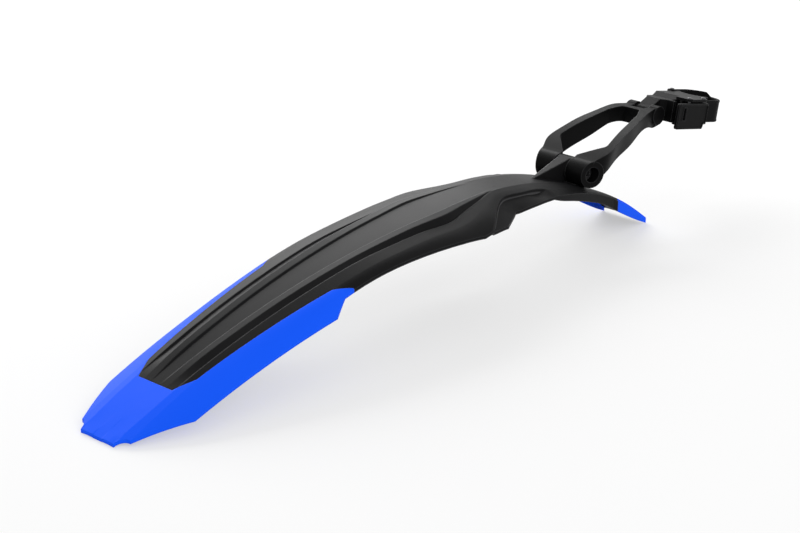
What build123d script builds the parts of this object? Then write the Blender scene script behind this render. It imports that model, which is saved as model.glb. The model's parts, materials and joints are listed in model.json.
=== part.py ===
from build123d import *
import math
import os

# Clip-on rear mudguard of a bicycle, standing on its tail tip and its nose.
# Work frame: x from the tail tip to the seatpost, y to the left, z up, floor at z = 0.

# Arch of the blade
BLADE_LENGTH = 510.0
CREST_X = BLADE_LENGTH * 0.6118
CREST_HEIGHT = 68.3
NOSE_JOIN_X = BLADE_LENGTH * 0.6471
NOSE_TIP_HEIGHT = 4.8
WALL = 2.2

# Stations along the blade where its moulded lines change
SHELL_START_X = BLADE_LENGTH * 0.0894
RIDGE_FULL_X = BLADE_LENGTH * 0.1373
LIP_FALL_X = BLADE_LENGTH * 0.3922
GROOVE_END_X = BLADE_LENGTH * 0.5588
WEDGE_TIP_X = BLADE_LENGTH * 0.6686
NECK_END_X = BLADE_LENGTH * 0.7549
NOSE_REAR_X = BLADE_LENGTH * 0.8431
NOSE_BOX_X = BLADE_LENGTH * 0.9176

# Half widths and heights of those lines, the heights measured from the centre panel
PANEL_HALF_REAR = 3.6
PANEL_HALF_FRONT = 13.0
PANEL_HALF_NECK = 9.6
PANEL_HALF_NOSE = 13.5
PANEL_STEP_RUN = 1.3
PANEL_STEP = 1.0
RIDGE_HALF_REAR = 9.8
RIDGE_HALF_FRONT = 20.5
RIDGE_HEIGHT = 1.2
RIDGE_HEIGHT_FRONT = 0.4
LIP_HALF_TAIL = 14.9
LIP_HALF_FRONT = 25.2
LIP_HALF_NECK = 12.4
LIP_HALF_NOSE = 18.4
LIP_HEIGHT = 0.3
LIP_DROP_FRONT = 3.6
GROOVE_DEPTH = 0.9
GROOVE_WALL_RUN = 1.3
FADED_RUN = 0.4
CREASE_HALF_TAIL = 21.6
CREASE_HALF_FLAP = 30.5
CREASE_HALF_HIP = 34.0
CREASE_HALF_NECK = 17.0
CREASE_HALF_NOSE = 19.0
FACET_SLOPE = 0.18
CREASE_KINK = 0.12

# Plan outline of the blade, half widths at its corners
TAIL_HALF = 14.7
TAIL_NOTCH_X = BLADE_LENGTH * 0.0094
TAIL_NOTCH_HALF = 17.2
TAIL_CORNER_X = BLADE_LENGTH * 0.0137
SHOULDER_X = BLADE_LENGTH * 0.0833
SHOULDER_HALF = 38.0
FLAP_END_X = BLADE_LENGTH * 0.3078
FLAP_HALF = 43.2
WAIST_X = BLADE_LENGTH * 0.3314
WAIST_HALF = 38.1
WAIST_BOW_X = BLADE_LENGTH * 0.4549
WAIST_BOW_HALF = 40.4
HIP_X = BLADE_LENGTH * 0.5725
HIP_HALF = 47.5
HIP_FRONT_X = BLADE_LENGTH * 0.6255
HIP_FRONT_HALF = 44.4
NECK_X = BLADE_LENGTH * 0.6667
NECK_HALF = 33.4
NECK_END_HALF = 31.5
NOSE_REAR_HALF = 25.7
NOSE_HALF = 20.8
NOSE_TIP_HALF = 20.0

# Flank drop under the centre panel, along the outline
TAIL_DROP = 7.8
FLAP_DROP = 10.2
HIP_DROP = 10.5
HIP_FRONT_DROP = 12.5
NECK_DROP = 10.0
NECK_END_DROP = 5.7
NOSE_DROP = 1.8
NOSE_TIP_DROP = 1.4
TAIL_FLANK_HALF = 36.5
OUTLINE_MARGIN = 6.0
NOSE_MARGIN = 2.0

# Upright walls under the edges of the nose: share of the blade's length, depth under the centre panel
NOSE_WALLS = (
    (0.7549, 8.2),
    (0.7745, 9.6),
    (0.8039, 10.0),
    (0.8431, 10.0),
    (0.8922, 9.2),
    (0.9216, 9.8),
    (0.9510, 9.5),
    (0.9804, 7.5),
    (1.0, 4.8),
)
WALL_LAP = 0.1

# Step in the flank ahead of the hips
STEP_HEIGHT = 2.7
STEP_RUN = 0.7
STEP_START_X = BLADE_LENGTH * 0.5922
STEP_CORNER_X = BLADE_LENGTH * 0.6667
STEP_END_X = BLADE_LENGTH * 0.7412
STEP_FADE = 6.0
STEP_HALF = 22.0
STEP_EDGE_INSET = 0.4

# Seams between the black shell and the blue flaps
SEAM_CREASE_X = BLADE_LENGTH * 0.1169
SEAM_FRONT_X = BLADE_LENGTH * 0.3235
FLAP_POINT_X = BLADE_LENGTH * 0.3471
FLAP_POINT_HALF = 37.2
NOSE_FLAP_X = BLADE_LENGTH * 0.9235
NOSE_FLAP_HALF = 18.1
NOSE_FLAP_SLANT = 3.0

# Lower hinge, between the blade's lug and the arm
HINGE_X = BLADE_LENGTH * 0.8578
HINGE_RISE = 10.6
KNUCKLE_RADIUS = 9.3
KNUCKLE_HALF = 6.0
LUG_LENGTH = 39.5
LUG_TIP_HALF = 0.9
LUG_HALF = 4.3
LUG_FRONT = 11.5
SADDLE_LENGTH = 17.0
SADDLE_HALF = 14.0
SADDLE_GAP = 0.5
SIDE_GAP = 0.3
RUN_GAP = 0.05
BOLT_RADIUS = 2.5
BOLT_HEAD_RADIUS = 4.25
BOLT_HEAD_HEIGHT = 5.0
BOLT_SOCKET = 4.0
BOLT_SOCKET_DEPTH = 2.5
BOLT_SEAT_Y = 13.0
BOLT_END = 1.0
WASHER_RADIUS = 5.0
WASHER_HEIGHT = 1.0
COUNTERBORE_RADIUS = 5.6
NUT_FLATS = 8.0
NUT_HEIGHT = 4.0

# Arm, its stations measured forward and up from the lower hinge
EAR_RADIUS = 9.7
EAR_HALF = 20.6
ARM_RUN = 92.5
ARM_RISE = 20.5
ELBOW_RUN = ARM_RUN * 0.1784
ELBOW_HALF = 28.0
PRONG_HALF = 13.4
BEAM_UNDERCUT = 3.7
UNDERCUT_FADE_RUN = ARM_RUN * 0.3
WINDOW_REAR_RUN = 3.5
WINDOW_ELBOW_RUN = ARM_RUN * 0.2
WINDOW_ELBOW_HALF = 21.2
WINDOW_NECK_RUN = ARM_RUN * 0.7081
WINDOW_NECK_HALF = 12.6
CROSSBAR_RUN = ARM_RUN * 0.8227
CROSSBAR_HALF = 7.8
CROSSBAR_DEPTH = 6.0
WINDOW_FILLET = 4.0

# Sections of the arm's beams: share of its run, top and bottom over the lower hinge, half width at the top
BEAM_SECTIONS = (
    (0.0054, 9.6, -8.0, 24.0),
    (0.0973, 12.9, -4.2, 26.8),
    (0.1784, 15.6, -0.6, ELBOW_HALF),
    (0.2595, 18.0, 2.6, 26.9),
    (0.4108, 21.8, 6.9, 24.6),
    (0.5676, 24.5, 11.1, 21.9),
    (0.7189, 26.8, 15.6, 18.6),
    (0.8541, 27.4, 14.8, 15.4),
)

# Upper hinge, between the arm and the clamp
PRONG_RADIUS = 7.0
CLAMP_KNUCKLE_RADIUS = 5.6
CLAMP_KNUCKLE_HALF = 6.0
CLAMP_PITCH = 12.5
CLAMP_LIFT = 3.2
PIVOT_RADIUS = 2.0
PIVOT_HEAD_RADIUS = 3.5
PIVOT_HEAD_HEIGHT = 3.6
PIVOT_SEAT_Y = 9.0
PIVOT_SOCKET = 2.5
PIVOT_SOCKET_DEPTH = 2.0
INSERT_RADIUS = 3.5
INSERT_DEPTH = 4.5

# Clamp, in its own frame: x forward from the upper hinge, z along the seatpost
POST_RADIUS = 13.6
POST_GAP = 0.05
POST_X = 71.0
PAD_WALL = 2.0
PAD_HALF_ANGLE = 46.0
PAD_HALF_HEIGHT = 7.5
STRAP_WALL = 2.2
STRAP_HALF_HEIGHT = 8.3
STRAP_FAR_HEIGHT = 11.3
STRAP_TAIL_X = 24.0
BODY_NECK_X = 9.0
BODY_RIB_X = 13.5
BODY_RIB_WIDTH = 3.0
BODY_RIB_HALF = 15.5
BODY_WAIST_X = 21.0
BODY_WAIST_HALF = 9.5
BODY_CHEEK_X = 31.0
BODY_FRONT_X = 62.0
BODY_HALF_HEIGHT = 8.0
CHEEK_HALF_HEIGHT = 10.5
CHEEK_GAP = 0.3
BUCKLE_REAR_X = 24.5
PIN_RADIUS = 1.25
PIN_HEAD_RADIUS = 1.9
PIN_HEAD_HEIGHT = 1.0
PIN_HEAD_CHAMFER = 0.5
PIN_TAIL = 0.4
PIN_WALL = 1.55
LEVER_PIN_X = 46.5
GUIDE_PIN_X = 28.0
CAM_RADIUS = 3.2
ANCHOR_PIN_X = 54.0
ANCHOR_LUG_HALF = 3.4
LEVER_REAR_X = 8.0
LEVER_NOSE = 0.6
LEVER_WALL = 2.1
LEVER_TOP = 7.8
LEVER_BOTTOM = 11.4
LEVER_SKIRT_X = 43.5
LEVER_CORNER = 1.7
LEVER_SLOT_X = 16.5
LEVER_SLOT_WIDTH = 3.2
LEVER_SLOT_HEIGHT = 9.0

# Cross-sections of the blade, as shares of its length
STATIONS = (-0.012, 0.012, 0.04, 0.0667, 0.0902, 0.1137, 0.1373, 0.19, 0.26, 0.33, 0.4, 0.46, 0.51, 0.5588,
            0.5824, 0.605, 0.637, 0.6686, 0.69, 0.716, 0.7412, 0.7549, 0.7725, 0.804, 0.8431, 0.88, 0.9176,
            0.96, 1.008)


def along(x, *knots):
    """Straight-line law through (x, value) knots, level beyond its ends."""
    if x <= knots[0][0]:
        return knots[0][1]
    for (x0, v0), (x1, v1) in zip(knots, knots[1:]):
        if x <= x1:
            return v0 + (v1 - v0) * (x - x0) / (x1 - x0)
    return knots[-1][1]


def arch_height(x):
    """Height of the centre panel: a long arc from the tail, then a tighter one over the nose."""
    rise = CREST_HEIGHT - WALL
    main_radius = (CREST_X**2 + rise**2) / (2 * rise)
    if x <= NOSE_JOIN_X:
        return CREST_HEIGHT - main_radius + math.sqrt(main_radius**2 - (x - CREST_X) ** 2)
    sine = (NOSE_JOIN_X - CREST_X) / main_radius
    cosine = math.sqrt(1 - sine**2)
    join_height = CREST_HEIGHT - main_radius * (1 - cosine)
    run = BLADE_LENGTH - NOSE_JOIN_X
    drop = NOSE_TIP_HEIGHT - join_height
    nose_radius = -(run**2 + drop**2) / (2 * (run * sine + drop * cosine))
    centre_x = NOSE_JOIN_X - nose_radius * sine
    centre_z = join_height - nose_radius * cosine
    return centre_z + math.sqrt(nose_radius**2 - (x - centre_x) ** 2)


HINGE_Z = arch_height(HINGE_X) + HINGE_RISE
UPPER_X = HINGE_X + ARM_RUN
UPPER_Z = HINGE_Z + ARM_RISE


def panel_lines(x):
    """Panel edge, step top, ridge and groove at x, as (half width, height) points up to the lip."""
    relief = along(x, (SHELL_START_X, 0), (RIDGE_FULL_X, 1), (GROOVE_END_X, 1), (WEDGE_TIP_X, 0))
    panel = along(x, (SHELL_START_X, PANEL_HALF_REAR), (GROOVE_END_X, PANEL_HALF_FRONT),
                  (WEDGE_TIP_X, PANEL_HALF_NECK), (NECK_END_X, PANEL_HALF_NECK),
                  (NOSE_BOX_X, PANEL_HALF_NOSE))
    lip = along(x, (0, LIP_HALF_TAIL), (GROOVE_END_X, LIP_HALF_FRONT), (WEDGE_TIP_X, LIP_HALF_NECK),
                (NECK_END_X, LIP_HALF_NECK), (NOSE_BOX_X, LIP_HALF_NOSE))
    lip_z = along(x, (SHELL_START_X, 0), (RIDGE_FULL_X, LIP_HEIGHT), (LIP_FALL_X, LIP_HEIGHT),
                  (GROOVE_END_X, -LIP_DROP_FRONT), (WEDGE_TIP_X, 0))
    step_run = FADED_RUN + (PANEL_STEP_RUN - FADED_RUN) * relief
    wall_run = FADED_RUN + (GROOVE_WALL_RUN - FADED_RUN) * relief
    groove = lip - wall_run
    ridge = along(x, (SHELL_START_X, RIDGE_HALF_REAR), (GROOVE_END_X, RIDGE_HALF_FRONT),
                  (WEDGE_TIP_X, LIP_HALF_NECK - 2 * FADED_RUN), (NECK_END_X, LIP_HALF_NECK - 2 * FADED_RUN),
                  (NOSE_BOX_X, LIP_HALF_NOSE - 2 * FADED_RUN))
    ridge_z = along(x, (SHELL_START_X, 0), (RIDGE_FULL_X, RIDGE_HEIGHT), (LIP_FALL_X, RIDGE_HEIGHT),
                    (GROOVE_END_X, RIDGE_HEIGHT_FRONT), (WEDGE_TIP_X, 0))
    return [(panel, 0), (panel + step_run, PANEL_STEP * relief), (ridge, ridge_z),
            (groove, lip_z - GROOVE_DEPTH * relief), (lip, lip_z)]


def edge_drop(x):
    """Drop of the flank at the outline, under the centre panel."""
    return along(x, (0, TAIL_DROP), (FLAP_END_X, FLAP_DROP), (HIP_X, HIP_DROP),
                 (HIP_FRONT_X, HIP_FRONT_DROP), (NECK_X, NECK_DROP), (NECK_END_X, NECK_END_DROP),
                 (NOSE_BOX_X, NOSE_DROP), (BLADE_LENGTH, NOSE_TIP_DROP))


def flank_lines(x, lip):
    """Crease, step and outer end of the flank at x, with the middle points of its two curved stretches."""
    crease = along(x, (0, CREASE_HALF_TAIL), (SEAM_CREASE_X, CREASE_HALF_TAIL),
                   (SEAM_FRONT_X, CREASE_HALF_FLAP), (HIP_X, CREASE_HALF_HIP),
                   (WEDGE_TIP_X, CREASE_HALF_NECK), (NOSE_BOX_X, CREASE_HALF_NOSE))
    edge = along(x, (0, TAIL_FLANK_HALF), (HIP_X, HIP_HALF), (HIP_FRONT_X, HIP_FRONT_HALF),
                 (NECK_X, NECK_HALF), (NECK_END_X, NECK_END_HALF), (NOSE_REAR_X, NOSE_REAR_HALF),
                 (NOSE_BOX_X, NOSE_HALF), (BLADE_LENGTH, NOSE_TIP_HALF))
    edge_z = -edge_drop(x)
    step = along(x, (STEP_START_X - STEP_FADE, 0), (STEP_START_X, STEP_HEIGHT), (STEP_END_X, STEP_HEIGHT),
                 (STEP_END_X + STEP_FADE, 0))
    step_half = along(x, (STEP_START_X - STEP_FADE, edge + STEP_EDGE_INSET),
                      (STEP_START_X, edge - STEP_EDGE_INSET), (STEP_CORNER_X, STEP_HALF),
                      (STEP_END_X, STEP_HALF), (NOSE_BOX_X, edge - STEP_EDGE_INSET))
    margin = along(x, (NECK_END_X, OUTLINE_MARGIN), (NOSE_BOX_X, NOSE_MARGIN))
    outer = max(edge, step_half + STEP_RUN) + margin
    lip_half, lip_z = lip
    crease_z = lip_z - FACET_SLOPE * (crease - lip_half)
    reach = edge - crease
    slope = FACET_SLOPE + along(x, (0, CREASE_KINK), (SEAM_CREASE_X, CREASE_KINK), (SEAM_FRONT_X, 0))
    bend = (crease_z - step - slope * reach - edge_z) / reach**2

    def height(half):
        return crease_z - slope * (half - crease) - bend * (half - crease) ** 2

    def middle(start, end, drop):
        """Control point of the parabola between two half widths."""
        fall = slope + 2 * bend * (start - crease)
        return ((start + end) / 2, height(start) - fall * (end - start) / 2 - drop)

    foot = step_half + STEP_RUN
    return [(crease, crease_z), middle(crease, step_half, 0), (step_half, height(step_half)),
            (foot, height(foot) - step), middle(foot, outer, step), (outer, height(outer) - step)]


def blade_section(x):
    """Closed cross-section of the blade at x: the outer line, and the same line one wall lower."""
    lines = panel_lines(x)
    points = lines + flank_lines(x, lines[-1])

    def skin(side, drop):
        at = [(side * half, arch_height(x) + height - drop) for half, height in points]
        edges = [Line(start, end) for start, end in zip(at[:5], at[1:6])]
        edges.append(Bezier(at[5], at[6], at[7]))
        edges.append(Line(at[7], at[8]))
        edges.append(Bezier(at[8], at[9], at[10]))
        return at[0], at[10], edges

    edges = []
    inner_ends = {}
    for side in (1, -1):
        top_in, top_out, top = skin(side, 0)
        low_in, low_out, low = skin(side, WALL)
        edges += [*top, *low, Line(top_out, low_out)]
        inner_ends[side] = (top_in, low_in)
    edges += [Line(left, right) for left, right in zip(inner_ends[1], inner_ends[-1])]
    return Plane(origin=(x, 0, 0), x_dir=(0, 1, 0), z_dir=(1, 0, 0)) * make_face(edges)


def plan_prism(edges, low=-60.0, high=160.0):
    """Upright prism over half an outline, its edges from the centre plane and back, and their mirror."""
    both = edges + [edge.mirror(Plane.XZ) for edge in edges]
    return extrude(Plane.XY.offset(low) * make_face(both), high - low)


def plan_polygon(points, low=-60.0, high=160.0):
    return extrude(Plane.XY.offset(low) * make_face(Polyline(*points, close=True)), high - low)


def side_prism(face, half):
    """A face drawn in x and z, given a half width to both sides of the centre plane."""
    return extrude(Plane.XZ * face, half, both=True)


def rod_y(x, z, radius, start, end):
    plane = Plane(origin=(x, start, z), x_dir=(1, 0, 0), z_dir=(0, 1, 0))
    return extrude(plane * Circle(radius), end - start)


def rod_z(x, y, radius, start, end):
    return extrude(Plane((x, y, start)) * Circle(radius), end - start)


def block(x, y, z):
    """Box from three (low, high) pairs."""
    centre = tuple((low + high) / 2 for low, high in (x, y, z))
    return Pos(*centre) * Box(*(high - low for low, high in (x, y, z)))


def blade_outline():
    tail = Polyline((0, 0), (0, TAIL_HALF))
    notch = ThreePointArc((0, TAIL_HALF), (TAIL_NOTCH_X, TAIL_NOTCH_HALF),
                          (TAIL_CORNER_X, CREASE_HALF_TAIL))
    flap = Polyline((TAIL_CORNER_X, CREASE_HALF_TAIL), (SHOULDER_X, SHOULDER_HALF), (FLAP_END_X, FLAP_HALF),
                    (WAIST_X, WAIST_HALF))
    waist = ThreePointArc((WAIST_X, WAIST_HALF), (WAIST_BOW_X, WAIST_BOW_HALF), (HIP_X, HIP_HALF))
    hip = Polyline((HIP_X, HIP_HALF), (HIP_FRONT_X, HIP_FRONT_HALF), (NECK_X, NECK_HALF))
    neck = Spline((NECK_X, NECK_HALF), (NECK_END_X, NECK_END_HALF), (NOSE_REAR_X, NOSE_REAR_HALF),
                  (NOSE_BOX_X, NOSE_HALF))
    nose = Polyline((NOSE_BOX_X, NOSE_HALF), (BLADE_LENGTH, NOSE_TIP_HALF), (BLADE_LENGTH, 0))
    return [edge for run in (tail, notch, flap, waist, hip, neck, nose) for edge in run.edges()]


def nose_walls():
    """Upright walls under both edges of the nose, deepest behind the hinge and shallow at the tip."""
    places = [(BLADE_LENGTH * share, depth) for share, depth in NOSE_WALLS]
    top = [(x, arch_height(x) - edge_drop(x) - WALL_LAP) for x, depth in places]
    low = [(x, arch_height(x) - depth) for x, depth in places]
    profile = make_face([Spline(*top), Line(top[-1], low[-1]), Spline(*low), Line(low[0], top[0])])
    start = NECK_END_X - WALL
    inner = Polyline((start, 0), (start, NECK_END_HALF - WALL), (NECK_END_X, NECK_END_HALF - WALL),
                     (NOSE_REAR_X, NOSE_REAR_HALF - WALL), (NOSE_BOX_X, NOSE_HALF - WALL),
                     (2 * BLADE_LENGTH, NOSE_HALF - WALL), (2 * BLADE_LENGTH, 0))
    return side_prism(profile, NECK_HALF) - plan_prism(inner.edges())


def rear_seam_zone():
    """Plan area of the blue tail and its skirts: all behind the shell's end and outside its side seams."""
    far = 2 * HIP_HALF
    points = [(SHELL_START_X, 0), (SHELL_START_X, LIP_HALF_TAIL), (SEAM_CREASE_X, CREASE_HALF_TAIL),
              (SEAM_FRONT_X, CREASE_HALF_FLAP), (FLAP_POINT_X, FLAP_POINT_HALF), (FLAP_POINT_X, far),
              (-far, far), (-far, 0)]
    return plan_prism(Polyline(*points).edges())


def nose_seam_zone(side):
    """Plan area of one blue nose strip, with its slanted rear end."""
    far = 2 * NOSE_HALF
    front = BLADE_LENGTH + far
    points = [(NOSE_FLAP_X + NOSE_FLAP_SLANT, side * NOSE_FLAP_HALF), (front, side * NOSE_FLAP_HALF),
              (front, side * far), (NOSE_FLAP_X - NOSE_FLAP_SLANT, side * far)]
    return plan_polygon(points)


def lug():
    """Triangular web on the nose that rises to the hinge knuckle, over a saddle that clears the ears."""
    tip = (HINGE_X - LUG_LENGTH, arch_height(HINGE_X - LUG_LENGTH))
    distance = math.hypot(LUG_LENGTH, HINGE_Z - tip[1])
    climb = math.atan2(HINGE_Z - tip[1], LUG_LENGTH) + math.asin(KNUCKLE_RADIUS / distance)
    tangent = (HINGE_X - KNUCKLE_RADIUS * math.sin(climb), HINGE_Z + KNUCKLE_RADIUS * math.cos(climb))
    front = HINGE_X + LUG_FRONT
    foot = [(x, arch_height(x) - WALL / 2) for x in (front, (front + tip[0]) / 2, tip[0])]
    web = make_face([Line(tip, tangent), Line(tangent, (HINGE_X, HINGE_Z)),
                     Line((HINGE_X, HINGE_Z), foot[0]), ThreePointArc(*foot), Line(foot[2], tip)])
    middle = HINGE_X - KNUCKLE_RADIUS
    wedge = plan_polygon([(tip[0], -LUG_TIP_HALF), (middle, -LUG_HALF), (front, -KNUCKLE_HALF),
                          (front, KNUCKLE_HALF), (middle, LUG_HALF), (tip[0], LUG_TIP_HALF)])
    knuckle = rod_y(HINGE_X, HINGE_Z, KNUCKLE_RADIUS, -KNUCKLE_HALF, KNUCKLE_HALF)
    rear = HINGE_X - SADDLE_LENGTH / 2
    ahead = HINGE_X + SADDLE_LENGTH / 2
    floor = [(x, arch_height(x) - WALL / 2) for x in (ahead, HINGE_X, rear)]
    saddle = side_prism(make_face([ThreePointArc(*floor), Line(floor[2], (HINGE_X, HINGE_Z)),
                                   Line((HINGE_X, HINGE_Z), floor[0])]), SADDLE_HALF)
    ears = rod_y(HINGE_X, HINGE_Z, EAR_RADIUS + SADDLE_GAP, -2 * SADDLE_HALF, 2 * SADDLE_HALF)
    return (side_prism(web, KNUCKLE_HALF) & wedge) + knuckle + (saddle - ears)


def blade():
    """The black shell with its lug, and the blue flaps that take over its edges."""
    blank = loft([blade_section(BLADE_LENGTH * share) for share in STATIONS])
    blank = (blank + nose_walls()) & plan_prism(blade_outline())
    rear = blank & rear_seam_zone()
    left = blank & nose_seam_zone(1)
    right = blank & nose_seam_zone(-1)
    shell = blank - rear_seam_zone() - nose_seam_zone(1) - nose_seam_zone(-1) + lug()
    bore = BOLT_RADIUS + RUN_GAP
    shell -= rod_y(HINGE_X, HINGE_Z, bore, -2 * KNUCKLE_HALF, 2 * KNUCKLE_HALF)
    return {"blade_shell": shell, "rear_flap": rear, "nose_flap_left": left, "nose_flap_right": right}


def beam_section(run, top, bottom, half):
    """Cross-section of both beams in one, its sides leaning in towards the bottom."""
    low = half - along(run, (UNDERCUT_FADE_RUN, BEAM_UNDERCUT), (ARM_RUN, 0))
    points = [(-low, bottom), (low, bottom), (half, top), (-half, top)]
    plane = Plane(origin=(HINGE_X + run, 0, HINGE_Z), x_dir=(0, 1, 0), z_dir=(1, 0, 0))
    return plane * make_face(Polyline(*points, close=True))


def arm():
    """Loop-shaped arm: two bowed beams from the ears to the prongs, with a window and two hinge slots."""
    elbow = (HINGE_X + ELBOW_RUN, ELBOW_HALF)
    rear = HINGE_X - EAR_RADIUS - SIDE_GAP
    ears = rod_y(HINGE_X, HINGE_Z, EAR_RADIUS, -ELBOW_HALF, ELBOW_HALF)
    ears &= plan_prism(Polyline((rear, 0), (rear, EAR_HALF), elbow, (elbow[0], 0)).edges())
    sections = [beam_section(ARM_RUN * share, *size) for share, *size in BEAM_SECTIONS]
    sections.append(beam_section(ARM_RUN, ARM_RISE + PRONG_RADIUS, ARM_RISE - PRONG_RADIUS, PRONG_HALF))
    beams = loft(sections)
    prongs = rod_y(UPPER_X, UPPER_Z, PRONG_RADIUS, -PRONG_HALF, PRONG_HALF)
    body = ears + beams + prongs
    ear_slot = KNUCKLE_HALF + SIDE_GAP
    corner_runs = [(WINDOW_REAR_RUN, ear_slot), (WINDOW_ELBOW_RUN, WINDOW_ELBOW_HALF),
                   (WINDOW_NECK_RUN, WINDOW_NECK_HALF), (CROSSBAR_RUN, CROSSBAR_HALF)]
    right = [(HINGE_X + run, -half) for run, half in corner_runs]
    window = plan_polygon(right + [(x, -y) for x, y in reversed(right)])
    corners = [edge for edge in window.edges().filter_by(Axis.Z)
               if edge.center().X > HINGE_X + WINDOW_REAR_RUN + SIDE_GAP]
    body -= fillet(corners, WINDOW_FILLET)
    body -= block((rear - 1, HINGE_X + WINDOW_REAR_RUN), (-ear_slot, ear_slot), (0, 2 * UPPER_Z))
    prong_slot = CLAMP_KNUCKLE_HALF + SIDE_GAP
    slot_x = (HINGE_X + CROSSBAR_RUN + CROSSBAR_DEPTH, UPPER_X + 2 * PRONG_RADIUS)
    body -= block(slot_x, (-prong_slot, prong_slot), (0, 2 * UPPER_Z))
    body -= rod_y(HINGE_X, HINGE_Z, BOLT_RADIUS, -ELBOW_HALF, ELBOW_HALF)
    body -= rod_y(HINGE_X, HINGE_Z, COUNTERBORE_RADIUS, -ELBOW_HALF, -BOLT_SEAT_Y)
    body -= hex_rod_y(HINGE_X, HINGE_Z, NUT_FLATS, BOLT_SEAT_Y, ELBOW_HALF)
    body -= rod_y(UPPER_X, UPPER_Z, PIVOT_RADIUS, -prong_slot, PRONG_HALF)
    body -= rod_y(UPPER_X, UPPER_Z, PIVOT_HEAD_RADIUS, PIVOT_SEAT_Y, PRONG_HALF)
    body -= rod_y(UPPER_X, UPPER_Z, INSERT_RADIUS, -prong_slot - INSERT_DEPTH, -prong_slot)
    return body


def hex_rod_y(x, z, flats, start, end):
    plane = Plane(origin=(x, start, z), x_dir=(1, 0, 0), z_dir=(0, 1, 0))
    return extrude(plane * RegularPolygon(flats / 2, 6, major_radius=False), end - start)


def lower_hinge_fasteners():
    """Socket-head bolt and washer in the right ear's counterbore, and the nut in the left ear's pocket."""
    under_head = -BOLT_SEAT_Y - WASHER_HEIGHT
    washer = rod_y(HINGE_X, HINGE_Z, WASHER_RADIUS, under_head, -BOLT_SEAT_Y)
    washer -= rod_y(HINGE_X, HINGE_Z, BOLT_RADIUS, under_head, -BOLT_SEAT_Y)
    bolt_end = BOLT_SEAT_Y + NUT_HEIGHT + BOLT_END
    bolt = rod_y(HINGE_X, HINGE_Z, BOLT_RADIUS, under_head, bolt_end)
    bolt += rod_y(HINGE_X, HINGE_Z, BOLT_HEAD_RADIUS, under_head - BOLT_HEAD_HEIGHT, under_head)
    bolt -= hex_rod_y(HINGE_X, HINGE_Z, BOLT_SOCKET, under_head - BOLT_HEAD_HEIGHT,
                      under_head - BOLT_HEAD_HEIGHT + BOLT_SOCKET_DEPTH)
    nut = hex_rod_y(HINGE_X, HINGE_Z, NUT_FLATS, BOLT_SEAT_Y, BOLT_SEAT_Y + NUT_HEIGHT)
    nut -= rod_y(HINGE_X, HINGE_Z, BOLT_RADIUS, BOLT_SEAT_Y, BOLT_SEAT_Y + NUT_HEIGHT)
    return {"blade_hinge_bolt": bolt, "blade_hinge_washer": washer, "blade_hinge_nut": nut}


def upper_hinge_fasteners():
    """Screw from the left prong into a threaded insert in the right one."""
    inner = -CLAMP_KNUCKLE_HALF - SIDE_GAP
    head_top = PIVOT_SEAT_Y + PIVOT_HEAD_HEIGHT
    screw = rod_y(UPPER_X, UPPER_Z, PIVOT_RADIUS, inner - INSERT_DEPTH, PIVOT_SEAT_Y)
    screw += rod_y(UPPER_X, UPPER_Z, PIVOT_HEAD_RADIUS, PIVOT_SEAT_Y, head_top)
    screw -= hex_rod_y(UPPER_X, UPPER_Z, PIVOT_SOCKET, head_top - PIVOT_SOCKET_DEPTH, head_top)
    insert = rod_y(UPPER_X, UPPER_Z, INSERT_RADIUS, inner - INSERT_DEPTH, inner)
    insert -= rod_y(UPPER_X, UPPER_Z, PIVOT_RADIUS, inner - INSERT_DEPTH, inner)
    return {"clamp_hinge_screw": screw, "clamp_hinge_insert": insert}


# Clamp values worked out from the seatpost
STRAP_INNER = POST_RADIUS + POST_GAP
STRAP_OUTER = STRAP_INNER + STRAP_WALL
CRADLE_RADIUS = STRAP_INNER + PAD_WALL
BODY_HALF = STRAP_INNER - CHEEK_GAP
PIN_Y = STRAP_OUTER + CHEEK_GAP + CAM_RADIUS
CHEEK_RADIUS = PIN_RADIUS + PIN_WALL
ANCHOR_Y = STRAP_INNER + STRAP_WALL / 2
EYE_RADIUS = PIN_RADIUS + STRAP_WALL
POCKET_HALF = STRAP_HALF_HEIGHT + CHEEK_GAP
LEVER_INNER_Y = PIN_Y + CHEEK_RADIUS + CHEEK_GAP


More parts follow.
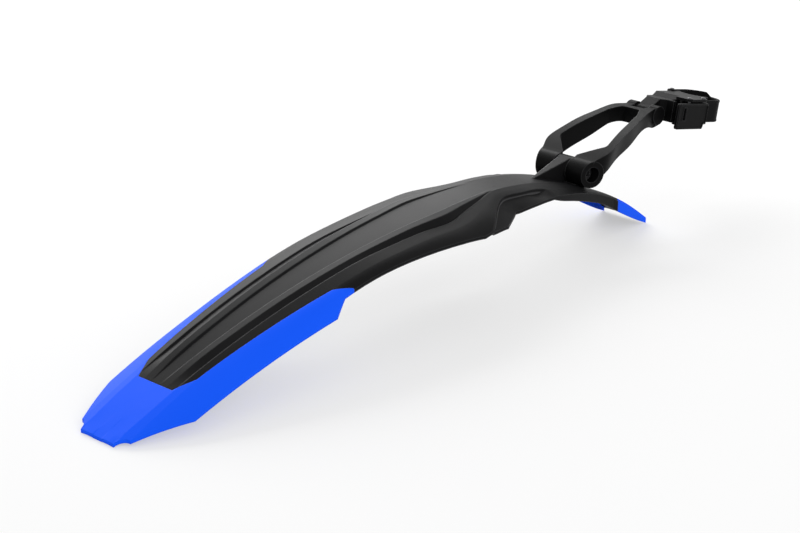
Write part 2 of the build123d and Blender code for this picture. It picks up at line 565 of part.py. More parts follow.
def clamp_body():
    """Block with a knuckle, a cradle for the seatpost, buckle cheeks and, on the left, a strap lug."""
    knuckle_z = -CLAMP_LIFT
    profile = make_face(Polyline((0, knuckle_z + CLAMP_KNUCKLE_RADIUS), (BODY_NECK_X, BODY_HALF_HEIGHT),
                                 (BODY_WAIST_X, BODY_HALF_HEIGHT), (BODY_CHEEK_X, CHEEK_HALF_HEIGHT),
                                 (BODY_FRONT_X, CHEEK_HALF_HEIGHT), (BODY_FRONT_X, -CHEEK_HALF_HEIGHT),
                                 (BODY_CHEEK_X, -CHEEK_HALF_HEIGHT), (BODY_WAIST_X, -BODY_HALF_HEIGHT),
                                 (BODY_NECK_X, -BODY_HALF_HEIGHT), (0, knuckle_z - CLAMP_KNUCKLE_RADIUS),
                                 close=True))
    profile += Pos(0, knuckle_z) * Circle(CLAMP_KNUCKLE_RADIUS)
    half = [*Polyline((-CLAMP_KNUCKLE_RADIUS, 0), (-CLAMP_KNUCKLE_RADIUS, CLAMP_KNUCKLE_HALF),
                      (BODY_NECK_X, CLAMP_KNUCKLE_HALF), (BODY_RIB_X, BODY_WAIST_HALF),
                      (BODY_WAIST_X, BODY_WAIST_HALF), (BODY_CHEEK_X, BODY_HALF), (BODY_FRONT_X, BODY_HALF),
                      (BODY_FRONT_X, 0)).edges()]
    body = side_prism(profile, PIN_Y + CHEEK_RADIUS) & plan_prism(half)
    body += block((BODY_RIB_X, BODY_RIB_X + BODY_RIB_WIDTH), (-BODY_RIB_HALF, 0),
                  (-BODY_HALF_HEIGHT, BODY_HALF_HEIGHT))
    cheek = [(BUCKLE_REAR_X, -BODY_WAIST_HALF), (BUCKLE_REAR_X, -PIN_Y),
             (GUIDE_PIN_X, -PIN_Y - CHEEK_RADIUS), (LEVER_PIN_X, -PIN_Y - CHEEK_RADIUS),
             (LEVER_PIN_X, -BODY_WAIST_HALF)]
    for side in (1, -1):
        low, high = sorted((side * POCKET_HALF, side * CHEEK_HALF_HEIGHT))
        body += plan_polygon(cheek, low, high)
        body += rod_z(LEVER_PIN_X, -PIN_Y, CHEEK_RADIUS, low, high)
        body += block((LEVER_PIN_X, LEVER_PIN_X + CHEEK_RADIUS), (-PIN_Y, -BODY_WAIST_HALF), (low, high))
    body += rod_z(ANCHOR_PIN_X, ANCHOR_Y, EYE_RADIUS, -ANCHOR_LUG_HALF, ANCHOR_LUG_HALF)
    for side in (1, -1):
        low, high = sorted((side * ANCHOR_LUG_HALF, side * 2 * CHEEK_HALF_HEIGHT))
        body -= rod_z(ANCHOR_PIN_X, ANCHOR_Y, EYE_RADIUS + CHEEK_GAP, low, high)
        body -= block((ANCHOR_PIN_X, BODY_FRONT_X), (STRAP_INNER - CHEEK_GAP, STRAP_OUTER), (low, high))
    body -= rod_z(POST_X, 0, CRADLE_RADIUS, -2 * CHEEK_HALF_HEIGHT, 2 * CHEEK_HALF_HEIGHT)
    body -= rod_y(0, knuckle_z, PIVOT_RADIUS + RUN_GAP, -2 * CLAMP_KNUCKLE_HALF, 2 * CLAMP_KNUCKLE_HALF)
    for x, y in ((LEVER_PIN_X, -PIN_Y), (GUIDE_PIN_X, -PIN_Y), (ANCHOR_PIN_X, ANCHOR_Y)):
        body -= rod_z(x, y, PIN_RADIUS, -2 * CHEEK_HALF_HEIGHT, 2 * CHEEK_HALF_HEIGHT)
    return body


def post_pad():
    """Soft liner in the cradle."""
    ring = rod_z(POST_X, 0, CRADLE_RADIUS, -PAD_HALF_HEIGHT, PAD_HALF_HEIGHT)
    ring -= rod_z(POST_X, 0, STRAP_INNER, -PAD_HALF_HEIGHT, PAD_HALF_HEIGHT)
    reach = 2 * CRADLE_RADIUS
    spread = reach * math.tan(math.radians(PAD_HALF_ANGLE))
    return ring & plan_polygon([(POST_X, 0), (POST_X - reach, -spread), (POST_X - reach, spread)])


def strap():
    """Band from the anchor pin round the front of the seatpost and back through the buckle."""
    low, high = -STRAP_HALF_HEIGHT, STRAP_HALF_HEIGHT
    far_high = STRAP_FAR_HEIGHT
    band = rod_z(POST_X, 0, STRAP_OUTER, low, far_high) - rod_z(POST_X, 0, STRAP_INNER, low, far_high)
    clear = 2 * STRAP_OUTER
    band -= block((POST_X - clear, POST_X), (-clear, clear), (2 * low, 2 * far_high))
    band -= block((0, 2 * POST_X), (-clear, 0), (high, 2 * far_high))
    band += block((STRAP_TAIL_X, POST_X), (-STRAP_OUTER, -STRAP_INNER), (low, high))
    band += block((ANCHOR_PIN_X, POST_X), (STRAP_INNER, STRAP_OUTER), (low, far_high))
    band += rod_z(ANCHOR_PIN_X, ANCHOR_Y, EYE_RADIUS, low, far_high)
    band -= rod_z(ANCHOR_PIN_X, ANCHOR_Y, PIN_RADIUS, low, far_high)
    gap = ANCHOR_LUG_HALF + CHEEK_GAP
    band -= rod_z(ANCHOR_PIN_X, ANCHOR_Y, EYE_RADIUS + CHEEK_GAP, -gap, gap)
    return band


def pin(x, y, low, foot):
    """Pin along z, its head on the height foot and its tail just below the height low."""
    body = rod_z(x, y, PIN_RADIUS, low - PIN_TAIL, foot)
    head = rod_z(x, y, PIN_HEAD_RADIUS, foot, foot + PIN_HEAD_HEIGHT)
    return body + chamfer(head.faces().sort_by(Axis.Z)[-1].edges(), PIN_HEAD_CHAMFER)


def lever():
    """Buckle lever: a plate along the right side, with a cam hub on its pin and a finger slot."""
    outer = LEVER_INNER_Y + LEVER_WALL
    front = LEVER_PIN_X + LEVER_NOSE
    face = make_face(Polyline((LEVER_REAR_X, -LEVER_BOTTOM), (LEVER_SKIRT_X, -LEVER_BOTTOM),
                              (LEVER_SKIRT_X, -LEVER_TOP), (front, -LEVER_TOP), (front, LEVER_TOP),
                              (LEVER_REAR_X, LEVER_TOP), close=True))
    face = fillet(face.vertices().filter_by(lambda corner: corner.X < front - 1), LEVER_CORNER)
    plate = extrude(Plane.XZ.offset(LEVER_INNER_Y) * face, LEVER_WALL)
    plate += rod_z(LEVER_PIN_X, -PIN_Y, CAM_RADIUS, -LEVER_TOP, LEVER_TOP)
    plate += block((LEVER_PIN_X - CAM_RADIUS, LEVER_PIN_X), (-LEVER_INNER_Y - LEVER_WALL / 2, -PIN_Y),
                   (-LEVER_TOP, LEVER_TOP))
    plate -= rod_z(LEVER_PIN_X, -PIN_Y, PIN_RADIUS + RUN_GAP, -LEVER_BOTTOM, LEVER_BOTTOM)
    slot_x = (LEVER_SLOT_X - LEVER_SLOT_WIDTH / 2, LEVER_SLOT_X + LEVER_SLOT_WIDTH / 2)
    plate -= block(slot_x, (-outer, -LEVER_INNER_Y), (-LEVER_SLOT_HEIGHT / 2, LEVER_SLOT_HEIGHT / 2))
    return plate


def clamp():
    """The clamp's pieces, pitched about the upper hinge."""
    place = Location((UPPER_X, 0, UPPER_Z), (0, CLAMP_PITCH, 0)) * Pos(0, 0, CLAMP_LIFT)
    pieces = {
        "clamp_body": clamp_body(),
        "post_pad": post_pad(),
        "strap": strap(),
        "lever": lever(),
        "lever_pin": pin(LEVER_PIN_X, -PIN_Y, -CHEEK_HALF_HEIGHT, CHEEK_HALF_HEIGHT),
        "strap_guide_pin": pin(GUIDE_PIN_X, -PIN_Y, -CHEEK_HALF_HEIGHT, CHEEK_HALF_HEIGHT),
        "strap_anchor_pin": pin(ANCHOR_PIN_X, ANCHOR_Y, -STRAP_HALF_HEIGHT, STRAP_FAR_HEIGHT),
    }
    return {name: place * piece for name, piece in pieces.items()}


def mudguard():
    """Every piece, with the origin under the middle of the whole object's box."""
    pieces = {**blade(), "arm": arm(), **lower_hinge_fasteners(), **upper_hinge_fasteners(), **clamp()}
    boxes = [piece.bounding_box() for piece in pieces.values()]
    middle_x = (min(box.min.X for box in boxes) + max(box.max.X for box in boxes)) / 2
    shift = Pos(-middle_x, 0, -min(box.min.Z for box in boxes))
    return {name: shift * piece for name, piece in pieces.items()}, shift.position


pieces, shift = mudguard()
os.makedirs("parts", exist_ok=True)
for name, piece in pieces.items():
    export_step(piece, f"parts/{name}.step")
print("origin moved by", tuple(round(value, 4) for value in shift))
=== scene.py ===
# %% [markdown]
# A clip-on rear mudguard for a bicycle: a long arched blade in black with blue edge flaps, a
# loop-shaped arm on a hinge, and a strap clamp for the seatpost. The solids come packed from CAD,
# in metres, and stay where they are. This lesson gives them their finishes, replaces the two
# rubber pieces with softer forms, adds the rolled borders of the lever, and sets a camera and a
# studio light around them.

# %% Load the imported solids
import json
import math

import bmesh
import bpy
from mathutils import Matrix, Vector


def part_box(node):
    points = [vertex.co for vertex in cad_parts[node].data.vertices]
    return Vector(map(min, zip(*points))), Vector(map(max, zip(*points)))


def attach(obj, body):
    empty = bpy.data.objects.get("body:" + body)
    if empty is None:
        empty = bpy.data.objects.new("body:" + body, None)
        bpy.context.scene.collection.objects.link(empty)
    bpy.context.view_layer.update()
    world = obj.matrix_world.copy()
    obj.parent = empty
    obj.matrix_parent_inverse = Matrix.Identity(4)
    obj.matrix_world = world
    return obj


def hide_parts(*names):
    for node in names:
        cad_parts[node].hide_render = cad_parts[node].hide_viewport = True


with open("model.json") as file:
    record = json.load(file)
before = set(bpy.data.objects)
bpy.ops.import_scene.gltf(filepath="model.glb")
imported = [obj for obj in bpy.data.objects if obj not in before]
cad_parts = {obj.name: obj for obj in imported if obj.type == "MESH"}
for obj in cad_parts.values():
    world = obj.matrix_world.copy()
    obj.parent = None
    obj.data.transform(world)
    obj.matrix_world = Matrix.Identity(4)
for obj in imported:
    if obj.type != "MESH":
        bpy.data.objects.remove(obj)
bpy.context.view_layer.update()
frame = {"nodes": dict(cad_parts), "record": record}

# %% [markdown]
# A shader is a graph of nodes. Its sums could be linked node by node, but that is long and hides
# what is worked out. Here one small class wraps a socket, so that arithmetic on wrapped sockets
# adds the Math nodes that do it.


# %% A socket that does sums
class Sum:
    """A shader value: arithmetic on it adds Math nodes to the graph it belongs to."""

    def __init__(self, finish, socket):
        self.finish = finish
        self.socket = socket

    def math(self, operation, *values, clamp=False):
        settings = {"operation": operation, "use_clamp": clamp}
        return self.finish.node("ShaderNodeMath", settings, dict(enumerate(values)))

    def __add__(self, other):
        return self.math("ADD", self, other)

    def __sub__(self, other):
        return self.math("SUBTRACT", self, other)

    def __rsub__(self, other):
        return self.math("SUBTRACT", other, self)

    def __mul__(self, other):
        return self.math("MULTIPLY", self, other)

    __radd__ = __add__
    __rmul__ = __mul__

    def larger(self, other):
        return self.math("MAXIMUM", self, other)

    def ramp(self, low, high):
        """From 0 at low to 1 at high, held there outside."""
        return self.math("MULTIPLY", self - low, 1 / (high - low), clamp=True)


print("sums for shaders: + - * larger ramp")

# %% [markdown]
# Every other node comes from one method. It takes the node's type, then its own settings, which
# have to be set first because they can change its sockets, and then the values or links of those
# sockets. Mixing colours has its own method, because a Math node would turn a colour grey.


# %% A material and its nodes
class Finish:
    """A material, or the world, under construction."""

    def __init__(self, name, home=bpy.data.materials):
        self.name = name
        self.material = home.new(name)
        self.material.use_nodes = True
        self.tree = self.material.node_tree
        self.shader = self.tree.nodes.get("Principled BSDF")

    def node(self, kind, settings=None, sockets=None, output=0):
        made = self.tree.nodes.new(kind)
        for name, value in (settings or {}).items():
            setattr(made, name, value)
        for name, value in (sockets or {}).items():
            self.feed(made.inputs[name], value)
        return Sum(self, made.outputs[output])

    def feed(self, target, value):
        if isinstance(value, Sum):
            self.tree.links.new(value.socket, target)
        else:
            target.default_value = value

    def surface(self, **values):
        for name, value in values.items():
            self.feed(self.shader.inputs[name.replace("_", " ")], value)

    def blend(self, factor, first, second):
        """Colour between two colours, by a value from 0 to 1."""
        # A Mix node has sockets for every type of data, and these are its colours.
        colour_a, colour_b, colour_out = 6, 7, 2
        sockets = {"Factor": factor, colour_a: first, colour_b: second}
        return self.node("ShaderNodeMix", {"data_type": "RGBA"}, sockets, colour_out)


FINISHES = {}


def keep(finish):
    """File a finish under its slot's name."""
    FINISHES[finish.name] = finish.material
    print("finish", finish.name, "with", len(finish.tree.nodes), "nodes")


# %% [markdown]
# A moulding shows four small things: patches where the melt flowed, a fine grain from the mould's
# wall, edges with a small radius, and edges that hands and grit have polished. Modelling them
# would take millions of faces, so they are worked out in the shader. Noise gives the patches and
# the grain, the bevel node rolls the normal over an edge, and ambient occlusion, looked at from
# inside the wall, finds the outer edges. Those edges are painted lighter, partly as polish from
# wear and partly as a painted highlight of the kind a rounded edge catches.


# %% Grain, flow and edges
def noise(finish, scale, detail, roughness=0.5):
    where = finish.node("ShaderNodeTexCoord", output="Object")
    sockets = {"Vector": where, "Scale": scale, "Detail": detail, "Roughness": roughness}
    return finish.node("ShaderNodeTexNoise", {}, sockets)


def worn_and_highlit_edges(finish, reach):
    """1 on outer edges, 0 on faces and in grooves."""
    # The mask for the lighter edge colour, which is partly wear and partly a painted highlight.
    settings = {"inside": True, "only_local": True, "samples": 6}
    sockets = {"Distance": reach}
    open_inside = finish.node("ShaderNodeAmbientOcclusion", settings, sockets, output="AO")
    return (1 - open_inside).ramp(low=0.10, high=0.45)


def grained(finish, height, strength, depth, edge):
    """Normal with a grain on it, and edges rolled to a radius of edge."""
    rolled = finish.node("ShaderNodeBevel", {"samples": 10}, {"Radius": edge})
    sockets = {"Strength": strength, "Distance": depth, "Height": height, "Normal": rolled}
    return finish.node("ShaderNodeBump", {}, sockets)


print("helpers for mouldings: noise, worn_and_highlit_edges, grained")

# %% [markdown]
# The blade is moulded in a satin black plastic. It is nearly black where it faces the viewer, and
# grey where the studio is reflected at a low angle, so its own colour is very dark and most of
# what is seen on it is gloss. A coarse noise varies the gloss a little, another leaves scuffs,
# and the outer edges are a lighter grey, partly wear and partly a painted highlight, which draws
# the thin lines along the ridges.

# %% Satin black of the blade
SHELL_DARK = (0.0062, 0.0062, 0.0065, 1)
SHELL_LIGHT = (0.0094, 0.0094, 0.0098, 1)
# Lighter grey of the outer edges: partly wear, partly a painted highlight.
SHELL_WORN_AND_HIGHLIGHT = (0.070, 0.070, 0.072, 1)


def satin_black():
    finish = Finish("shell_black")
    flow = noise(finish, scale=26, detail=3)
    grain = noise(finish, scale=2600, detail=2)
    scuffs = noise(finish, scale=260, detail=5, roughness=0.65).ramp(low=0.60, high=0.72)
    uneven = 0.45 + noise(finish, scale=120, detail=3) * 0.6
    # Mask of the outer edges that take the painted highlight and the wear.
    wear_and_highlight = worn_and_highlit_edges(finish, reach=0.0008) * uneven
    finish.surface(
        Base_Color=finish.blend(wear_and_highlight, finish.blend(flow, SHELL_DARK, SHELL_LIGHT), SHELL_WORN_AND_HIGHLIGHT),
        Roughness=0.34 + flow * 0.08 + scuffs * 0.05 - wear_and_highlight * 0.06,
        Normal=grained(finish, grain, strength=0.2, depth=0.00005, edge=0.0011),
        Specular_IOR_Level=0.032,
    )
    return finish


keep(satin_black())

# %% [markdown]
# The flaps are a softer, flexible plastic in a strong blue. They could share the blade's graph
# with another colour, but their skin is duller and more even, so they get a graph of their own:
# rougher, with less change of colour and no worn edges.

# %% Blue of the flaps
BLUE_DEEP = (0.0055, 0.098, 0.96, 1)
BLUE_BRIGHT = (0.0070, 0.106, 1.0, 1)


def flap_blue():
    finish = Finish("flap_blue")
    flow = noise(finish, scale=20, detail=3)
    grain = noise(finish, scale=2200, detail=2)
    finish.surface(
        Base_Color=finish.blend(flow, BLUE_DEEP, BLUE_BRIGHT),
        Roughness=0.46 + flow * 0.08,
        Normal=grained(finish, grain, strength=0.2, depth=0.00005, edge=0.0005),
        Specular_IOR_Level=0.05,
    )
    return finish


keep(flap_blue())

# %% [markdown]
# The arm, the clamp and the lever are a stiff, glass-filled plastic, blacker and drier than the
# blade. The graph is the blade's without the scuffs, and a coarser, deeper grain breaks up the
# reflections. Its outer edges too are painted a lighter grey, partly wear and partly a painted
# highlight.

# %% Black of the arm and clamp
ARM_DARK = (0.0022, 0.0022, 0.0023, 1)
ARM_LIGHT = (0.0040, 0.0040, 0.0042, 1)
# Lighter grey of the outer edges: partly wear, partly a painted highlight.
ARM_WORN_AND_HIGHLIGHT = (0.048, 0.048, 0.050, 1)


def arm_black():
    finish = Finish("arm_black")
    flow = noise(finish, scale=60, detail=3)
    grain = noise(finish, scale=1700, detail=3)
    uneven = 0.35 + noise(finish, scale=150, detail=3) * 0.6
    # Mask of the outer edges that take the painted highlight and the wear.
    wear_and_highlight = worn_and_highlit_edges(finish, reach=0.0006) * uneven
    finish.surface(
        Base_Color=finish.blend(wear_and_highlight, finish.blend(flow, ARM_DARK, ARM_LIGHT), ARM_WORN_AND_HIGHLIGHT),
        Roughness=0.36 + flow * 0.10 - wear_and_highlight * 0.08,
        Normal=grained(finish, grain, strength=0.25, depth=0.00006, edge=0.0005),
        Specular_IOR_Level=0.042,
    )
    return finish


keep(arm_black())

# %% [markdown]
# The strap and the pad behind the seatpost are rubbery. Rubber shines unevenly where it was bent
# and rubbed, so one noise changes its colour and its roughness together.

# %% Rubber of the strap and pad
RUBBER_DARK = (0.0020, 0.0020, 0.0021, 1)
RUBBER_LIGHT = (0.0042, 0.0042, 0.0044, 1)


def strap_rubber():
    finish = Finish("strap_rubber")
    rubbed = noise(finish, scale=90, detail=4)
    grain = noise(finish, scale=3000, detail=1)
    finish.surface(
        Base_Color=finish.blend(rubbed, RUBBER_DARK, RUBBER_LIGHT),
        Roughness=0.36 + rubbed * 0.16,
        Normal=grained(finish, grain, strength=0.2, depth=0.00004, edge=0.0003),
        Specular_IOR_Level=0.025,
    )
    return finish


keep(strap_rubber())

# %% [markdown]
# The screws, the nut, the washer and the pins are blackened steel, and the threaded insert of the
# upper hinge is turned brass. Both are metals with specks in the colour, so one function makes
# them from two colours and a few values. Black oxide is a skin on the steel, so that one is not
# quite all metal.


# %% Blackened steel and brass
def metal(name, dark, light, speck_noise, roughness, speck_roughness, metallic):
    finish = Finish(name)
    specks = noise(finish, **speck_noise)
    finish.surface(
        Base_Color=finish.blend(specks, dark, light),
        Roughness=roughness + specks * speck_roughness,
        Metallic=metallic,
        Normal=grained(finish, specks, strength=0.1, depth=0.0002, edge=0.0002),
    )
    return finish


keep(metal(
    "black_steel", dark=(0.05, 0.05, 0.053, 1), light=(0.12, 0.12, 0.125, 1),
    speck_noise={"scale": 700, "detail": 4, "roughness": 0.6},
    roughness=0.26, speck_roughness=0.2, metallic=0.9,
))
keep(metal(
    "insert_brass", dark=(0.50, 0.35, 0.13, 1), light=(0.66, 0.49, 0.22, 1),
    speck_noise={"scale": 900, "detail": 2},
    roughness=0.25, speck_roughness=0.15, metallic=1.0,
))

# %% [markdown]
# The record says which slot each solid belongs to. Going by it, and not by a list of names here,
# means that no solid is left without a finish.

# %% Put the finishes on the solids
for subpart in frame["record"]["subparts"]:
    node = frame["nodes"][subpart["node"]]
    node.data.materials.clear()
    node.data.materials.append(FINISHES[subpart["material_slot"]])

# %% [markdown]
# The rubber pieces are built in the clamp's own frame. The record's mount gives the middle of the
# seatpost and its axis, so a point is stated forward of the post, to its left and up along it, in
# millimetres, as one would measure it on the bench.

# %% The clamp's frame
MM_PER_METRE = 1000
POST = frame["record"]["mounts"][0]
UP = Vector(POST["axis"])
LEFT = Vector((0, 1, 0))
AHEAD = LEFT.cross(UP)


def from_post(forward, left, up):
    return Vector(POST["pos_m"]) + (AHEAD * forward + LEFT * left + UP * up) / MM_PER_METRE


print("post at", [round(value, 4) for value in POST["pos_m"]])

# %% [markdown]
# Each of these pieces is a skin over rings of points, one ring after another along its line. A
# bevelled curve would be shorter to write, but it keeps one section all the way, and these change
# theirs. The skin is either closed into a loop or capped at both ends.


# %% A skin over rings
def piece(name, rings, closed, slot, body):
    """Mesh over rings, which all have the same number of points, riding on a body."""
    mesh = bmesh.new()
    rows = [[mesh.verts.new(point) for point in ring] for ring in rings]
    count = len(rows[0])
    pairs = list(zip(rows, rows[1:]))
    if closed:
        pairs.append((rows[-1], rows[0]))
    else:
        mesh.faces.new(rows[0])
        mesh.faces.new(reversed(rows[-1]))
    for row, following in pairs:
        for index in range(count):
            after = (index + 1) % count
            mesh.faces.new((row[index], row[after], following[after], following[index]))
    bmesh.ops.recalc_face_normals(mesh, faces=mesh.faces)
    data = bpy.data.meshes.new(name)
    mesh.to_mesh(data)
    mesh.free()
    for polygon in data.polygons:
        polygon.use_smooth = True
    data.materials.append(FINISHES[slot])
    made = bpy.data.objects.new(name, data)
    bpy.context.scene.collection.objects.link(made)
    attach(made, body)
    print(name, "with", len(data.polygons), "faces on", body)
    return made


# %% [markdown]
# The strap is a band 2.2 mm thick. Its line starts at the tail, behind the lever, runs forward
# along the right side, turns round the front of the post and ends at the eye on the left.

# %% Line of the strap
STRAP_INNER = 13.65
TAIL_END = -47.0
EYE_AT = -17.0
EYE_REACH = 3.6
TOOTH_PITCH = 2.4
RINGS_PER_TOOTH = 6
TURN_STEPS = 48
LEFT_STEPS = 12


def strap_line():
    """Places on the inner face: forward, left, the way out of the loop, and the run so far."""
    places = []
    steps = int(-TAIL_END / TOOTH_PITCH * RINGS_PER_TOOTH)
    for step in range(steps + 1):
        forward = TAIL_END * (1 - step / steps)
        places.append((forward, -STRAP_INNER, (0, -1), forward - TAIL_END))
    for step in range(1, TURN_STEPS + 1):
        turned = math.pi * step / TURN_STEPS
        out = (math.sin(turned), -math.cos(turned))
        run = STRAP_INNER * turned - TAIL_END
        places.append((STRAP_INNER * out[0], STRAP_INNER * out[1], out, run))
    for step in range(1, LEFT_STEPS + 1):
        forward = (EYE_AT + EYE_REACH) * step / LEFT_STEPS
        run = STRAP_INNER * math.pi - TAIL_END - forward
        places.append((forward, STRAP_INNER, (0, 1), run))
    return places


print("strap's inner face:", round(strap_line()[-1][-1], 1), "mm long")

# %% [markdown]
# The section is a flat bar with rounded edges and a raised border. Two things change along it: the
# tail carries small teeth for the buckle to hold, cut between the borders by a wave, and the top
# climbs past the front of the post, because the left side stands higher.

# %% Band of the strap
STRAP_WALL = 2.2
STRAP_HALF = 8.3
STRAP_LEFT_TOP = 11.3
CLIMB_FROM = STRAP_INNER * 1.5
CLIMB_RUN = 5
EDGE_ROUND = 0.45
BORDER = 1.4
BORDER_RISE = 0.25
BORDER_SLOPE = 0.4
TOOTH_INSET = 0.9
TOOTH_DEPTH = 0.35
TOOTHED_RUN = 22


def strap_ring(forward, left, out, run):
    climb = min(1, max(0, (run + TAIL_END - CLIMB_FROM) / CLIMB_RUN))
    eased = climb * climb * (3 - 2 * climb)
    low = -STRAP_HALF
    top = STRAP_HALF + (STRAP_LEFT_TOP - STRAP_HALF) * eased
    face = STRAP_WALL - BORDER_RISE
    wave = max(0, math.sin(2 * math.pi * run / TOOTH_PITCH))
    cut = face - TOOTH_DEPTH * wave if run < TOOTHED_RUN else face
    section = [
        (EDGE_ROUND, low), (STRAP_WALL - EDGE_ROUND, low), (STRAP_WALL, low + EDGE_ROUND),
        (STRAP_WALL, low + BORDER), (face, low + BORDER + BORDER_SLOPE),
        (cut, low + BORDER + TOOTH_INSET), (cut, top - BORDER - TOOTH_INSET),
        (face, top - BORDER - BORDER_SLOPE), (STRAP_WALL, top - BORDER),
        (STRAP_WALL, top - EDGE_ROUND), (STRAP_WALL - EDGE_ROUND, top), (EDGE_ROUND, top),
        (0, top - EDGE_ROUND), (0, low + EDGE_ROUND),
    ]
    return [
        from_post(forward + out[0] * depth, left + out[1] * depth, up) for depth, up in section
    ]


strap_rings = [strap_ring(*place) for place in strap_line()]
strap = piece("strap_band", strap_rings, closed=False, slot="strap_rubber", body="clamp")

# %% [markdown]
# The eye is two short barrels round the anchor pin, one above the clamp's lug and one below it. A
# barrel is a section turned round the pin's line, with its edges cut back at both ends.

# %% Eye of the strap
PIN_HOLE = 1.3
PIN_CHAMFER = 0.3
EYE_RADIUS = 3.45
EYE_CHAMFER = 0.4
EYE_LEFT = STRAP_INNER + STRAP_WALL / 2
EYE_STEPS = 32
LUG_CLEAR = 3.7


def barrel(name, low, high):
    section = [
        (PIN_HOLE, low + PIN_CHAMFER), (PIN_HOLE + PIN_CHAMFER, low),
        (EYE_RADIUS - EYE_CHAMFER, low), (EYE_RADIUS, low + EYE_CHAMFER),
        (EYE_RADIUS, high - EYE_CHAMFER), (EYE_RADIUS - EYE_CHAMFER, high),
        (PIN_HOLE + PIN_CHAMFER, high), (PIN_HOLE, high - PIN_CHAMFER),
    ]
    rings = []
    for step in range(EYE_STEPS):
        angle = 2 * math.pi * step / EYE_STEPS
        ahead, aside = math.cos(angle), math.sin(angle)
        rings.append([
            from_post(EYE_AT + ahead * radius, EYE_LEFT + aside * radius, up)
            for radius, up in section
        ])
    piece(name, rings, closed=True, slot="strap_rubber", body="clamp")


barrel("strap_eye_low", -STRAP_HALF, -LUG_CLEAR)
barrel("strap_eye_high", LUG_CLEAR, STRAP_LEFT_TOP)
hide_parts("strap")

# %% [markdown]
# The pad is a curved rubber liner in the cradle. Upright ribs on its inner face grip the post, and
# its ends are rounded. The ribs could be an array of bars, but a wave in the inner radius gives
# rounded ones in the same skin, with no seams.

# %% Pad behind the post
PAD_OUTER = 15.6
PAD_INNER = 13.75
PAD_HALF = 7.5
PAD_ANGLE = 45.0
PAD_RIBS = 11
PAD_STEPS = 132
RIB_RISE = 0.45
END_SHARE = 0.03
END_THICKNESS = 0.55
END_SHORTER = 0.5
CHAMFER_IN = 0.5
CHAMFER_UP = 0.6


def pad_ring(share):
    """Section of the pad at a share of the way round, from its left end to its right."""
    angle = math.radians(180 - PAD_ANGLE + 2 * PAD_ANGLE * share)
    rib = RIB_RISE * (0.5 - 0.5 * math.cos(2 * math.pi * PAD_RIBS * share))
    end = min(1, min(share, 1 - share) / END_SHARE)
    swell = END_THICKNESS + (1 - END_THICKNESS) * math.sqrt(end * (2 - end))
    inner = PAD_OUTER - (PAD_OUTER - PAD_INNER - RIB_RISE + rib) * swell
    half = PAD_HALF - END_SHORTER * (1 - end)
    section = [
        (inner, -half + CHAMFER_UP), (inner + CHAMFER_IN, -half), (PAD_OUTER, -half),
        (PAD_OUTER, half), (inner + CHAMFER_IN, half), (inner, half - CHAMFER_UP),
    ]
    ahead, aside = math.cos(angle), math.sin(angle)
    return [from_post(ahead * radius, aside * radius, up) for radius, up in section]


pad_rings = [pad_ring(step / PAD_STEPS) for step in range(PAD_STEPS + 1)]
pad = piece("post_pad_rubber", pad_rings, closed=False, slot="strap_rubber", body="clamp")
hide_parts("post_pad")

# %% [markdown]
# The lever is a plate whose border stands a little proud, and so does the border of its slot, both
# rounded like a rolled edge. They are what catches the light on it. The solid's own mesh is never
# changed, so each border is a thin bead, half sunk in the plate, drawn round a path of straight
# runs and rounded corners.

# %% Path round an outline
CORNER_STEPS = 6


def rounded_path(corners, inset, radius):
    """Places round a right-angled outline moved in by inset: forward, up, and the way out."""
    places = []
    for index, corner in enumerate(corners):
        before = Vector(corners[index - 1])
        here = Vector(corner)
        after = Vector(corners[(index + 1) % len(corners)])
        come, go = (here - before).normalized(), (after - here).normalized()
        out_come, out_go = Vector((come.y, -come.x)), Vector((go.y, -go.x))
        bend = radius if come.cross(go) > 0 else -radius
        middle = here - (out_come + out_go) * (inset + bend)
        for step in range(CORNER_STEPS + 1):
            angle = math.pi / 2 * step / CORNER_STEPS
            out = out_come * math.cos(angle) + out_go * math.sin(angle)
            at = middle + out * bend
            places.append((at.x, at.y, out))
    return places


LEVER_BORDER = (
    (-63.0, 7.8), (-63.0, -11.4), (-27.5, -11.4), (-27.5, -7.8), (-23.9, -7.8), (-23.9, 7.8),
)
SLOT_BORDER = ((-56.1, 4.5), (-56.1, -4.5), (-52.9, -4.5), (-52.9, 4.5))
print("corners of the lever:", len(LEVER_BORDER), "and of its slot:", len(SLOT_BORDER))

# %% [markdown]
# The bead's section is a ring of ten points, a little flatter than round. Its middle lies on the
# lever's outer face, which is read from the solid's box.

# %% Beads on the lever
LEVER_FACE = -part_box("lever")[0][1] * MM_PER_METRE
BEAD_SIDES = 10
BEAD_FLATNESS = 0.8


def bead(name, corners, inset, radius, thick):
    rings = []
    for forward, up, out in rounded_path(corners, inset, radius):
        ring = []
        for step in range(BEAD_SIDES):
            angle = 2 * math.pi * step / BEAD_SIDES
            reach = math.cos(angle) * thick
            right = LEVER_FACE + math.sin(angle) * thick * BEAD_FLATNESS
            ring.append(from_post(forward + out.x * reach, -right, up + out.y * reach))
        rings.append(ring)
    piece(name, rings, closed=True, slot="arm_black", body="lever")


bead("lever_border_bead", LEVER_BORDER, inset=0.9, radius=1.5, thick=0.75)
bead("lever_slot_bead", SLOT_BORDER, inset=-0.5, radius=0.8, thick=0.5)
print("lever's outer face at", round(LEVER_FACE, 2), "mm right of the middle")

# %% [markdown]
# The picture is taken from behind and to the right, a little above, with a long lens. The camera
# could be placed by eye, but here its place and turn were fitted to the picture, so they are
# stated as numbers in the same frame as the solids.

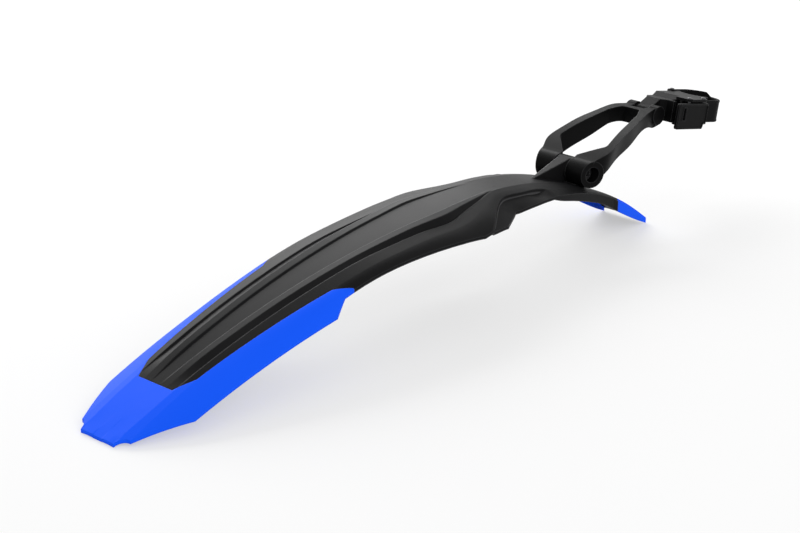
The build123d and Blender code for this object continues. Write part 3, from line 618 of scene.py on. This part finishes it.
# %% Camera
CAMERA_PLACE = Vector((-0.9858, -0.8555, 0.5326))
CAMERA_YAW = math.radians(42.38)
CAMERA_PITCH = math.radians(21.51)
CAMERA_LENS_MM = 92.84
CAMERA_SENSOR_MM = 36
CAMERA_NEAR = 0.01
camera = bpy.data.objects.new("camera", bpy.data.cameras.new("camera"))
camera.data.sensor_width = CAMERA_SENSOR_MM
camera.data.lens = CAMERA_LENS_MM
camera.data.clip_start = CAMERA_NEAR
camera.location = CAMERA_PLACE
camera.rotation_euler = (math.pi / 2 - CAMERA_PITCH, 0, CAMERA_YAW - math.pi / 2)
bpy.context.scene.collection.objects.link(camera)
bpy.context.scene.camera = camera
print("camera", round(CAMERA_PLACE.length, 2), "m from the middle")

# %% [markdown]
# The mudguard lies on a white table. More light would make the table white too, but it would wash
# out the object. So the table's material is partly a plain pale surface, which takes the shadow,
# and partly white to whatever the eye sees, straight or in a reflection. The white share grows
# with the distance from the middle, so that the background stays clean and shows no horizon.


# %% Table
def seen(finish):
    """1 for what the eye sees, straight, in a mirror or through glass, and 0 for other light."""
    straight, mirrored, through = (
        finish.node("ShaderNodeLightPath", output=f"Is {kind} Ray")
        for kind in ("Camera", "Glossy", "Transmission")
    )
    return straight.larger(mirrored).larger(through)


WHITE = (1, 1, 1, 1)
PALE = (0.86, 0.86, 0.86, 1)
TABLE_SIZE = 14
WHITE_SHARE = 0.47
WHITE_FROM, WHITE_TO = 0.5, 1.1
bpy.context.scene.view_settings.view_transform = "Standard"
bpy.ops.mesh.primitive_plane_add(size=TABLE_SIZE)
table = bpy.context.object
table.name = "table"
pale = Finish("table_white")
pale.surface(Base_Color=PALE, Roughness=0.9, Specular_IOR_Level=0.0)
lit = Sum(pale, pale.shader.outputs[0])
white = pale.node("ShaderNodeEmission", {}, {"Color": WHITE, "Strength": 1.0})
where = pale.node("ShaderNodeTexCoord", output="Object")
away = pale.node("ShaderNodeVectorMath", {"operation": "LENGTH"}, {0: where}, output="Value")
share = WHITE_SHARE + away.ramp(WHITE_FROM, WHITE_TO) * (1 - WHITE_SHARE)
both = pale.node("ShaderNodeMixShader", {}, {0: seen(pale) * share, 1: lit, 2: white})
pale.feed(pale.tree.nodes["Material Output"].inputs["Surface"], both)
table.data.materials.append(pale.material)
print("table", tuple(table.dimensions))

# %% [markdown]
# The world works the same way: white to the eye, and dimmer as a light, so that it fills the
# shadows without burning out the table.

# %% World
SKY_LIGHT = 0.62
studio = Finish("studio", bpy.data.worlds)
sky = studio.tree.nodes["Background"]
studio.feed(sky.inputs["Color"], WHITE)
studio.feed(sky.inputs["Strength"], SKY_LIGHT + seen(studio) * (1 - SKY_LIGHT))
bpy.context.scene.world = studio.material
print("sky's strength as a light:", SKY_LIGHT)

# %% [markdown]
# Black plastic shows its form by what it reflects. One large softbox stands beyond the blade, on
# its left, where the top mirrors it at a low angle, and it also throws the soft shadow towards the
# viewer. A weaker one lights the blue flank from the right, and a faint one hangs beyond the
# seatpost's end. None of them is seen by the camera.

# %% Softboxes
SOFTBOXES = {
    "backdrop": {"place": (0.64, 1.38, 0.88), "size": (1.7, 1.2), "watts": 31},
    "fill": {"place": (-0.5, -1.7, 1.1), "size": (2.0, 1.4), "watts": 14},
    "grey card": {"place": (1.2, -0.35, 1.25), "size": (1.6, 1.4), "watts": 1},
}


def softbox(name, place, size, watts):
    """Rectangular lamp aimed at the middle of the table."""
    light = bpy.data.lights.new(name, "AREA")
    light.shape = "RECTANGLE"
    light.size, light.size_y = size
    light.energy = watts
    lamp = bpy.data.objects.new(name, light)
    lamp.location = place
    lamp.rotation_euler = (-Vector(place)).to_track_quat("-Z", "Y").to_euler()
    lamp.visible_camera = False
    bpy.context.scene.collection.objects.link(lamp)


for name, values in SOFTBOXES.items():
    softbox(name, **values)
print("softboxes:", ", ".join(SOFTBOXES))
